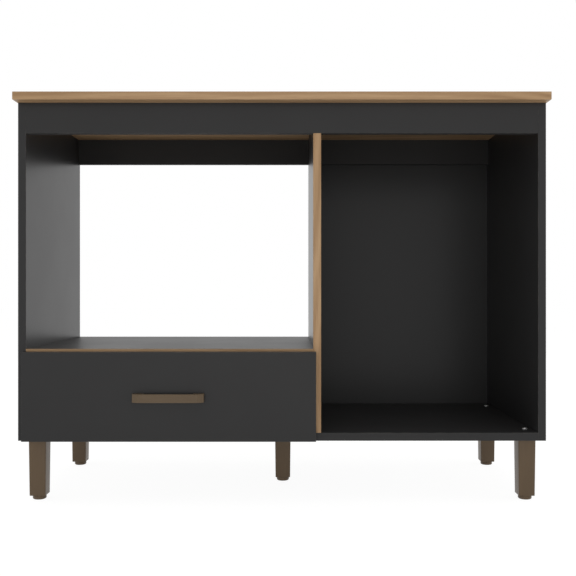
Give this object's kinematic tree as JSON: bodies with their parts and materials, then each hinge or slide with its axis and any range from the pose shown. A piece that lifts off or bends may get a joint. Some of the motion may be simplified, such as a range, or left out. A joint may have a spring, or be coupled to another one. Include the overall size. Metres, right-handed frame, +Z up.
{
  "type": "cooktop base cabinet",
  "caption": "Low kitchen base cabinet on plastic feet, with a wood-look worktop, an open niche over a drawer on telescopic slides, and a tall open bay beside them.",
  "frame": {"origin": "on the floor, under the middle of the whole cabinet's box, handle included", "axes": "+Z up, the open front faces -Y, +X to the right of someone who stands in front of it"},
  "size_m": [1.2, 0.5056, 0.927],
  "materials": {
    "worktop_laminate": "satin wood-look laminate on particleboard, grain along the length",
    "black_laminate": "black fine-textured laminate on particleboard, half matte",
    "wood_edge_band": "wood-look edge band, satin, grain along its length",
    "black_hardboard": "thin hardboard with a black painted face",
    "drawer_box_board": "dark grey laminated board, half matte",
    "brown_plastic": "moulded brown plastic, half matte",
    "bronze_plastic": "brown bronze-look moulded plastic, satin",
    "zinc_plated_steel": "zinc plated, bright",
    "cast_zinc": "cast zinc, grey",
    "slide_steel": "rolled zinc-plated steel strip",
    "ball_cage_steel": "stamped steel strip with polished balls",
    "beech_dowel": "fluted beech"
  },
  "bodies": {
    "cabinet": {"worktop": "worktop_laminate", "left_side_panel": "black_laminate", "right_side_panel": "black_laminate", "bottom_panel": "black_laminate", "divider_panel": "black_laminate", "niche_shelf": "black_laminate", "front_rail": "black_laminate", "back_rail": "black_laminate", "divider_edge_band": "wood_edge_band", "shelf_edge_band": "wood_edge_band", "back_panel_bay": "black_hardboard", "back_panel_drawer": "black_hardboard", "cam_fittings": "cast_zinc", "cam_bolts": "zinc_plated_steel", "dowels": "beech_dowel", "divider_screws": "zinc_plated_steel", "worktop_brackets": "zinc_plated_steel", "bracket_screws": "zinc_plated_steel", "back_panel_nails": "zinc_plated_steel", "foot_bolts": "zinc_plated_steel", "foot_front_left": "brown_plastic", "foot_front_right": "brown_plastic", "foot_back_left": "brown_plastic", "foot_back_right": "brown_plastic", "foot_middle": "brown_plastic", "slide_cabinet_member_left": "slide_steel", "slide_cabinet_member_right": "slide_steel", "slide_wall_screws": "zinc_plated_steel"},
    "drawer": {"drawer_front": "black_laminate", "drawer_side_left": "drawer_box_board", "drawer_side_right": "drawer_box_board", "drawer_back": "drawer_box_board", "drawer_bottom": "drawer_box_board", "drawer_handle": "bronze_plastic", "handle_screws": "zinc_plated_steel", "drawer_cam_fittings": "cast_zinc", "drawer_cam_bolts": "zinc_plated_steel", "drawer_back_screws": "zinc_plated_steel", "drawer_bottom_nails": "zinc_plated_steel", "slide_drawer_member_left": "slide_steel", "slide_drawer_member_right": "slide_steel", "slide_box_screws": "zinc_plated_steel"},
    "slide_middle_left": {"slide_middle_member_left": "slide_steel"},
    "outer_cage_left": {"ball_cage_outer_left": "ball_cage_steel"},
    "inner_cage_left": {"ball_cage_inner_left": "ball_cage_steel"},
    "slide_middle_right": {"slide_middle_member_right": "slide_steel"},
    "outer_cage_right": {"ball_cage_outer_right": "ball_cage_steel"},
    "inner_cage_right": {"ball_cage_inner_right": "ball_cage_steel"},
    "glide_front_left": {"glide_front_left": "brown_plastic"},
    "glide_front_right": {"glide_front_right": "brown_plastic"},
    "glide_back_left": {"glide_back_left": "brown_plastic"},
    "glide_back_right": {"glide_back_right": "brown_plastic"},
    "glide_middle": {"glide_middle": "brown_plastic"}
  },
  "joints": [
    {"name": "drawer_slide", "type": "slide", "parent": "cabinet", "child": "drawer", "axis": [0, -1, 0], "range_m": [0, 0.4]},
    {"name": "slide_middle_left_travel", "type": "slide", "parent": "cabinet", "child": "slide_middle_left", "axis": [0, -1, 0], "range_m": [0, 0.2]},
    {"name": "outer_cage_left_travel", "type": "slide", "parent": "cabinet", "child": "outer_cage_left", "axis": [0, -1, 0], "range_m": [0, 0.1]},
    {"name": "inner_cage_left_travel", "type": "slide", "parent": "cabinet", "child": "inner_cage_left", "axis": [0, -1, 0], "range_m": [0, 0.3]},
    {"name": "slide_middle_right_travel", "type": "slide", "parent": "cabinet", "child": "slide_middle_right", "axis": [0, -1, 0], "range_m": [0, 0.2]},
    {"name": "outer_cage_right_travel", "type": "slide", "parent": "cabinet", "child": "outer_cage_right", "axis": [0, -1, 0], "range_m": [0, 0.1]},
    {"name": "inner_cage_right_travel", "type": "slide", "parent": "cabinet", "child": "inner_cage_right", "axis": [0, -1, 0], "range_m": [0, 0.3]},
    {"name": "glide_front_left_screw", "type": "slide", "parent": "cabinet", "child": "glide_front_left", "axis": [0, 0, -1], "range_m": [0, 0.01]},
    {"name": "glide_front_right_screw", "type": "slide", "parent": "cabinet", "child": "glide_front_right", "axis": [0, 0, -1], "range_m": [0, 0.01]},
    {"name": "glide_back_left_screw", "type": "slide", "parent": "cabinet", "child": "glide_back_left", "axis": [0, 0, -1], "range_m": [0, 0.01]},
    {"name": "glide_back_right_screw", "type": "slide", "parent": "cabinet", "child": "glide_back_right", "axis": [0, 0, -1], "range_m": [0, 0.01]},
    {"name": "glide_middle_screw", "type": "slide", "parent": "cabinet", "child": "glide_middle", "axis": [0, 0, -1], "range_m": [0, 0.01]}
  ],
  "couplings": [
    {"joint": "slide_middle_left_travel", "follows": "drawer_slide", "ratio": 0.5},
    {"joint": "outer_cage_left_travel", "follows": "drawer_slide", "ratio": 0.25},
    {"joint": "inner_cage_left_travel", "follows": "drawer_slide", "ratio": 0.75},
    {"joint": "slide_middle_right_travel", "follows": "drawer_slide", "ratio": 0.5},
    {"joint": "outer_cage_right_travel", "follows": "drawer_slide", "ratio": 0.25},
    {"joint": "inner_cage_right_travel", "follows": "drawer_slide", "ratio": 0.75}
  ]
}
